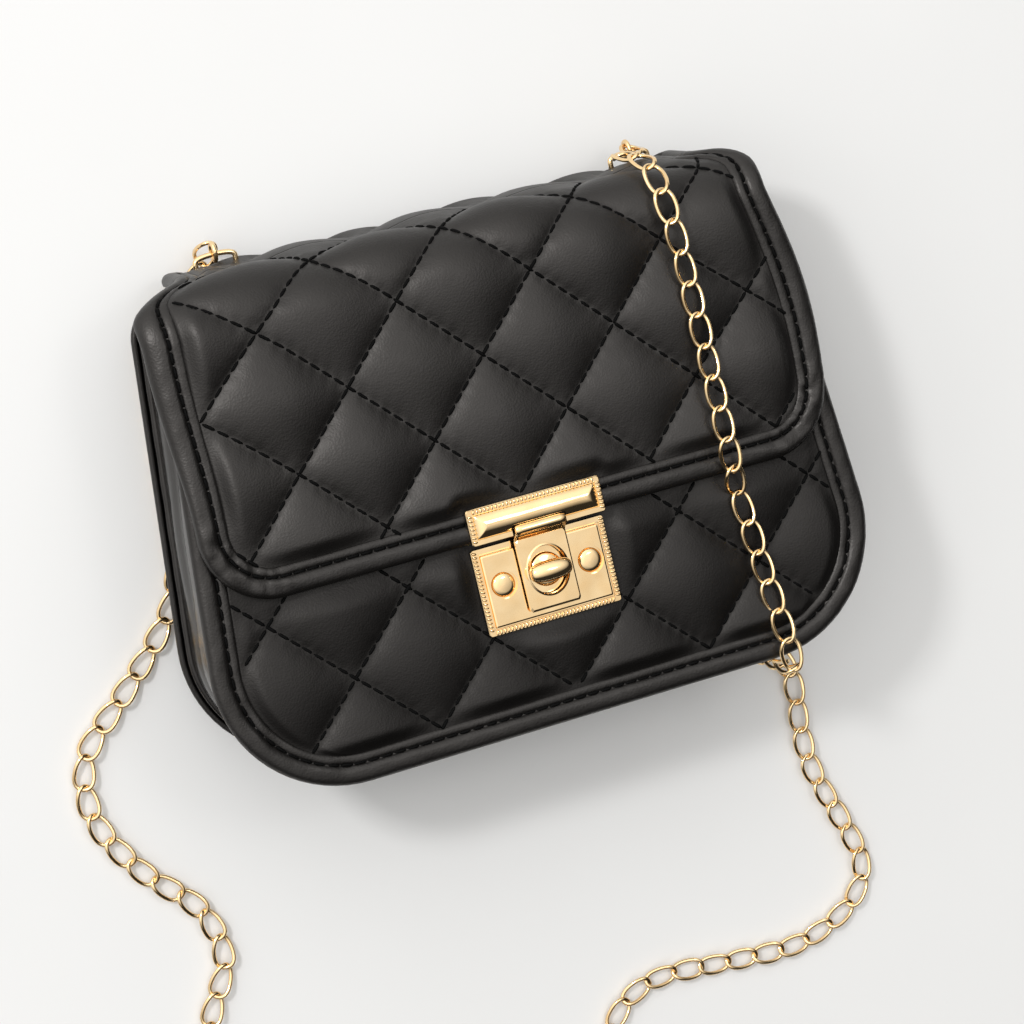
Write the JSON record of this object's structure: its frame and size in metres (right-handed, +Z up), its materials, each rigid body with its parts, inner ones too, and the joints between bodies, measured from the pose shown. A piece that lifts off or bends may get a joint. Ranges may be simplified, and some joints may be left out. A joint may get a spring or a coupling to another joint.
{
  "type": "crossbody purse",
  "caption": "Small quilted flap bag with rounded bottom corners, a turn lock on the front and a chain shoulder strap; the flap folds back and the lock knob turns.",
  "frame": {"origin": "on the surface the bag lies on, under the middle of the bag without its chain and rings", "axes": "+X to the right of the front face, +Y from the bottom of the bag to its top end, +Z up out of the front face; the bag lies on its back"},
  "size_m": [0.2408, 0.3657, 0.063],
  "materials": {
    "quilted_leather": "soft matt-sheen black faux leather with fine grain, quilted in diamonds",
    "gloss_leather": "smoother black faux leather with more shine",
    "lining_cloth": "plain woven dark lining",
    "foam": "thin soft padding sheet",
    "board": "pressed fibre board",
    "gold_metal": "polished pale gold plating",
    "plain_steel": "plain nickel-plated steel"
  },
  "bodies": {
    "purse_body": {"back_panel": "quilted_leather", "back_border": "quilted_leather", "back_piping": "gloss_leather", "back_lining": "lining_cloth", "inner_pocket": "lining_cloth", "bottom_board": "board", "gusset": "gloss_leather", "gusset_lining": "lining_cloth", "front_panel": "quilted_leather", "front_foam": "foam", "front_lining": "lining_cloth", "front_border": "quilted_leather", "front_piping": "gloss_leather", "flap_tail": "quilted_leather", "lock_base_plate": "gold_metal", "lock_backing_plate": "plain_steel", "lock_rivet_left": "gold_metal", "lock_rivet_right": "gold_metal", "knob_collar": "gold_metal", "spring_washer": "plain_steel", "strap_bridge_left": "gold_metal", "strap_bridge_right": "gold_metal", "strap_ring_left": "gold_metal", "strap_ring_right": "gold_metal", "chain_front_drop": "gold_metal", "chain_loop": "gold_metal"},
    "flap_top": {"flap_top_leather": "quilted_leather", "flap_top_lining": "lining_cloth", "flap_top_border_left": "quilted_leather", "flap_top_border_right": "quilted_leather", "chain_top_right": "gold_metal"},
    "flap": {"flap_leather": "quilted_leather", "flap_lining": "lining_cloth", "flap_border": "quilted_leather", "flap_plate": "gold_metal", "flap_backing_plate": "plain_steel", "flap_plate_prong_left": "plain_steel", "flap_plate_prong_right": "plain_steel", "hasp_tab": "gold_metal", "hasp_roll": "gold_metal", "chain_over_flap": "gold_metal"},
    "knob": {"knob": "gold_metal", "knob_spindle": "plain_steel", "spindle_clip": "plain_steel"}
  },
  "joints": [
    {"name": "flap_back_fold", "type": "hinge", "parent": "purse_body", "child": "flap_top", "pos_m": [0, 0.0719, 0.018], "axis": [-1, 0, 0], "range_deg": [0, 90]},
    {"name": "flap_front_fold", "type": "hinge", "parent": "flap_top", "child": "flap", "pos_m": [0, 0.06766, 0.0462], "axis": [-1, 0, 0], "range_deg": [0, 85]},
    {"name": "knob_turn", "type": "hinge", "parent": "purse_body", "child": "knob", "pos_m": [0, -0.0314, 0.05432], "axis": [0, 0.0803, 0.9968], "range_deg": [0, 90]}
  ]
}
